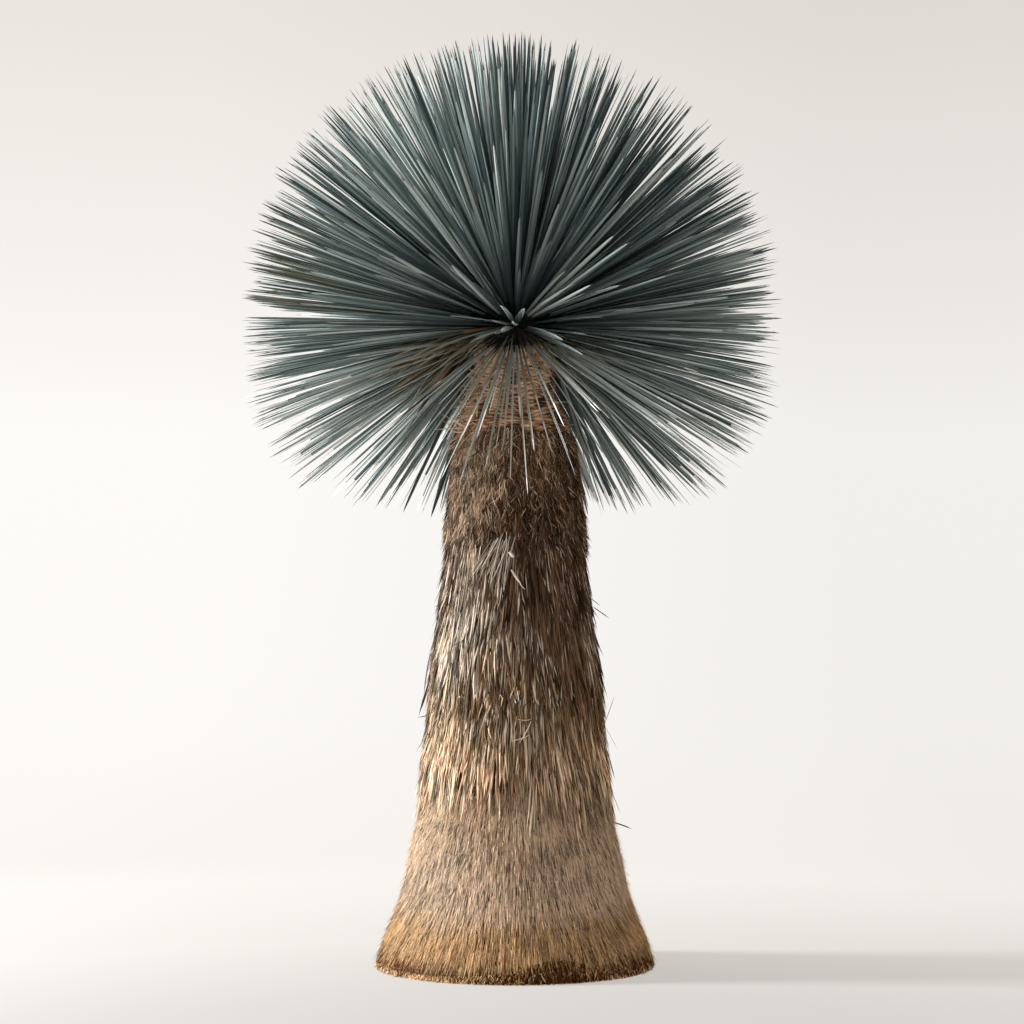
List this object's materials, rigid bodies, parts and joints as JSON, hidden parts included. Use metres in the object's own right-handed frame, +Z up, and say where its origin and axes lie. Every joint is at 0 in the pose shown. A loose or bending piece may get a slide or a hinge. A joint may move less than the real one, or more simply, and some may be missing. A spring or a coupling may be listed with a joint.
{
  "type": "beaked yucca",
  "caption": "Rooted beaked yucca with a stout flared trunk clad in shaggy dead-leaf thatch, a bare ringed neck and a round head of stiff, narrow blue-green leaves.",
  "frame": {"origin": "Centre of the flat cut under the trunk, at ground level", "axes": "+Z up along the trunk, -Y towards the front of the plant as it is seen in the picture, +X to the right of that view"},
  "size_m": [1.1516, 1.1706, 2.045],
  "materials": {
    "wood": "matt ringed bark, brown",
    "thatch": "dry hanging leaf strips and fibres, tan to grey-brown",
    "leaf": "waxy blue-green leaf blades"
  },
  "bodies": {
    "root": {"trunk": "wood", "thatch_foot": "thatch", "thatch_lower": "thatch", "thatch_middle": "thatch", "thatch_upper": "thatch", "leaves_spear": "leaf", "leaves_upper_1": "leaf", "leaves_upper_2": "leaf", "leaves_upper_3": "leaf", "leaves_upper_4": "leaf", "leaves_upper_5": "leaf", "leaves_upper_6": "leaf", "leaves_middle_1": "leaf", "leaves_middle_2": "leaf", "leaves_middle_3": "leaf", "leaves_middle_4": "leaf", "leaves_middle_5": "leaf", "leaves_middle_6": "leaf", "leaves_lower_1": "leaf", "leaves_lower_2": "leaf", "leaves_lower_3": "leaf", "leaves_lower_4": "leaf", "leaves_lower_5": "leaf", "leaves_lower_6": "leaf", "leaves_skirt_1": "leaf", "leaves_skirt_2": "leaf", "leaves_skirt_3": "leaf", "leaves_skirt_4": "leaf", "leaves_skirt_5": "leaf", "leaves_skirt_6": "leaf"}
  },
  "joints": []
}
